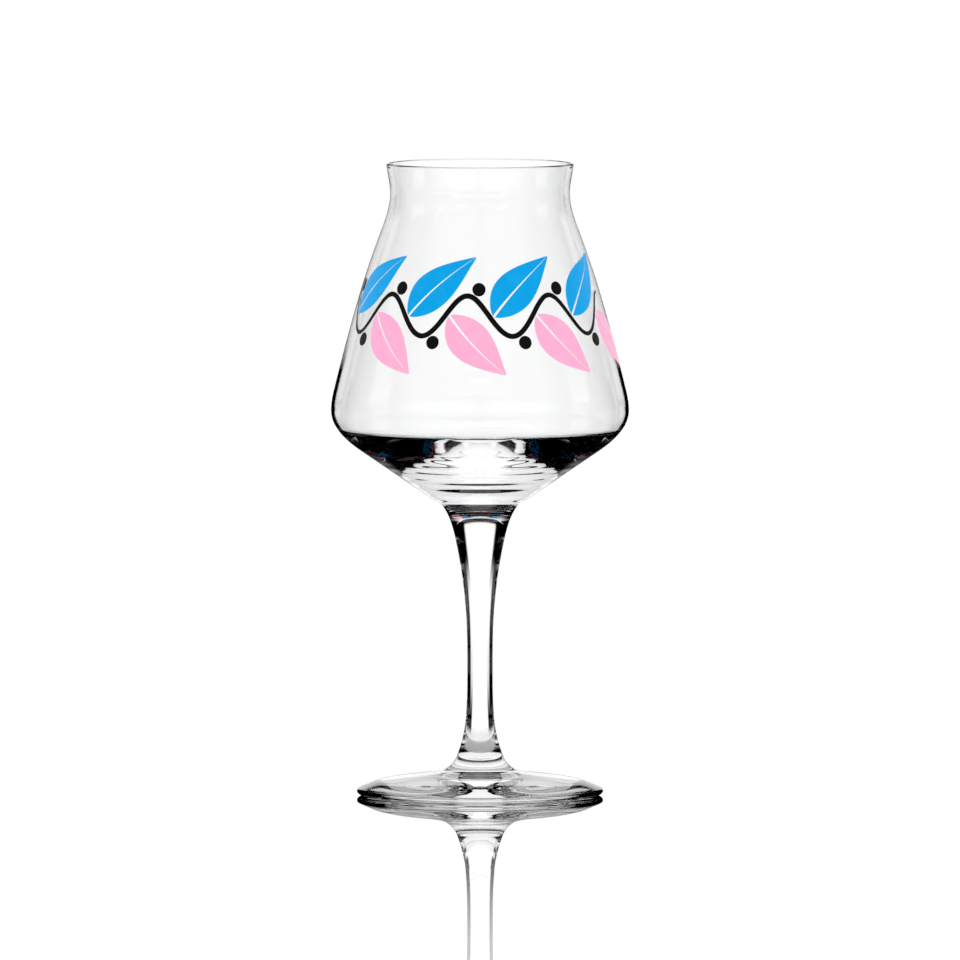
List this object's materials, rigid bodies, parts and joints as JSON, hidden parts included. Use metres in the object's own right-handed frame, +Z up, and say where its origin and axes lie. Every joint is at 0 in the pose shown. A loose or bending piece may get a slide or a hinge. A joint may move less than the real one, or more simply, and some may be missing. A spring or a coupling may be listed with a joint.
{
  "type": "stemmed beer glass",
  "caption": "Stemmed tulip beer glass: conical blown bowl with a flared lip, slim solid stem and round foot, with a leaf garland in fired enamel on the front.",
  "frame": {"origin": "on the table plane, at the axis of the glass, under the foot", "axes": "+Z up along the axis of the glass; -Y is the decorated front, +X is to the right seen from the front"},
  "size_m": [0.09, 0.09, 0.1912],
  "materials": {
    "clear_glass": "clear soda-lime glass, fire polished",
    "blue_enamel": "fired gloss enamel print, sky blue",
    "pink_enamel": "fired gloss enamel print, rose pink",
    "black_enamel": "fired gloss enamel print, black"
  },
  "bodies": {
    "root": {"foot": "clear_glass", "stem": "clear_glass", "bowl": "clear_glass", "garland_vine": "black_enamel", "blue_leaf_1": "blue_enamel", "pink_leaf_1": "pink_enamel", "upper_berry_1": "black_enamel", "lower_berry_1": "black_enamel", "blue_leaf_2": "blue_enamel", "pink_leaf_2": "pink_enamel", "upper_berry_2": "black_enamel", "lower_berry_2": "black_enamel", "blue_leaf_3": "blue_enamel", "pink_leaf_3": "pink_enamel", "upper_berry_3": "black_enamel", "lower_berry_3": "black_enamel", "blue_leaf_4": "blue_enamel", "pink_leaf_4": "pink_enamel", "upper_berry_4": "black_enamel", "lower_berry_4": "black_enamel"}
  },
  "joints": []
}
